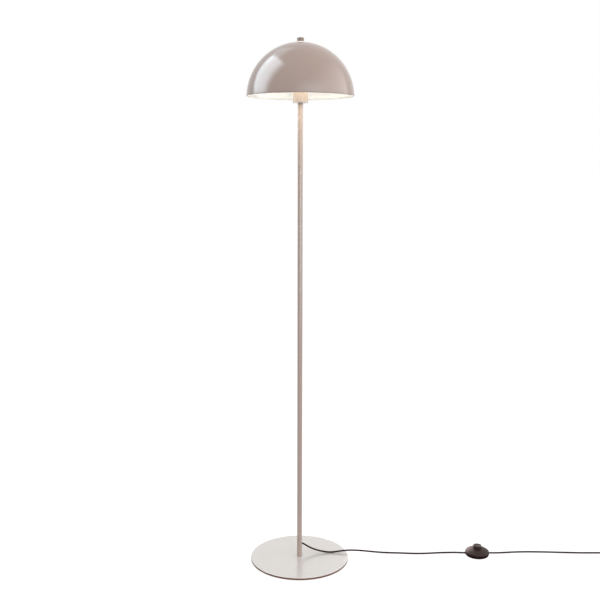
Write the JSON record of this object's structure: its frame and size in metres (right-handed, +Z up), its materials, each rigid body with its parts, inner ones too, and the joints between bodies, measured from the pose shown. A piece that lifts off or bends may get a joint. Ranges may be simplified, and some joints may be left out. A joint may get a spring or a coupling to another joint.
{
  "type": "floor lamp",
  "caption": "Floor lamp with a half-round metal shade on a slim pole and a round flat foot, screw bulb inside, and a thin cord with a foot-press switch and a plug.",
  "frame": {"origin": "on the floor, under the middle of the foot and the pole", "axes": "+Z up along the pole, +X the way the cord runs to the foot switch, -Y the front that the picture shows"},
  "size_m": [1.0987, 0.28, 1.4206],
  "materials": {
    "taupe_lacquer": "semi-gloss",
    "plate_lacquer": "satin",
    "knob_lacquer": "semi-gloss",
    "white_lacquer": "matt",
    "felt": "felt",
    "zinc_steel": "zinc plated",
    "brass": "plain",
    "nickel": "nickel plated",
    "cap_metal": "plain",
    "white_plastic": "moulded",
    "black_glass": "gloss",
    "opal_glass": "opal, lit",
    "brown_plastic": "moulded",
    "soft_brown_plastic": "moulded",
    "cord_sheath": "smooth",
    "tie_plastic": "moulded"
  },
  "bodies": {
    "lamp": {"base_bolt": "zinc_steel", "base_pad": "felt", "base_plate": "plate_lacquer", "bracket_stud": "zinc_steel", "centre_contact": "brass", "cord_coil": "cord_sheath", "cord_grommet": "soft_brown_plastic", "cord_tie": "tie_plastic", "cord_to_coil": "cord_sheath", "cord_to_plug": "cord_sheath", "cord_to_switch": "cord_sheath", "holder_body": "white_plastic", "holder_cap": "white_plastic", "knob_washer": "white_plastic", "lampholder_cup": "taupe_lacquer", "lock_washer": "zinc_steel", "nipple_nut": "zinc_steel", "plug_body": "brown_plastic", "plug_pins": "nickel", "plug_sleeve": "soft_brown_plastic", "pole_foot_plug": "zinc_steel", "pole_lead": "cord_sheath", "pole_lower": "taupe_lacquer", "pole_middle": "taupe_lacquer", "pole_nipple": "zinc_steel", "pole_spigot_lower": "zinc_steel", "pole_spigot_upper": "zinc_steel", "pole_top_bush": "zinc_steel", "pole_upper": "taupe_lacquer", "screw_shell": "nickel", "seat_washer": "zinc_steel", "shade": "taupe_lacquer", "shade_bracket": "white_lacquer", "switch_base": "brown_plastic", "switch_block": "white_plastic", "switch_bushes": "soft_brown_plastic", "switch_cover": "brown_plastic", "switch_screws": "zinc_steel", "switch_spring": "zinc_steel", "terminal_block": "white_plastic", "terminal_screws": "brass"},
    "switch_button": {"switch_button": "brown_plastic"},
    "knob": {"shade_knob": "knob_lacquer"},
    "bulb": {"bulb_contact": "brass", "bulb_insulator": "black_glass", "bulb_cap": "cap_metal", "bulb_glass": "opal_glass"}
  },
  "joints": [
    {"name": "button_press", "type": "slide", "parent": "lamp", "child": "switch_button", "axis": [0, 0, -1], "range_m": [0, 0.004], "stiffness_N_per_m": 1500, "springref_m": -0.004, "deforming": ["switch_spring"]},
    {"name": "knob_turn", "type": "hinge", "parent": "lamp", "child": "knob", "pos_m": [0, 0, 1.4158], "axis": [0, 0, 1], "range_deg": [0, 1080]},
    {"name": "bulb_turn", "type": "hinge", "parent": "lamp", "child": "bulb", "pos_m": [0, 0, 1.3], "axis": [0, 0, 1], "range_deg": [0, 720]}
  ]
}
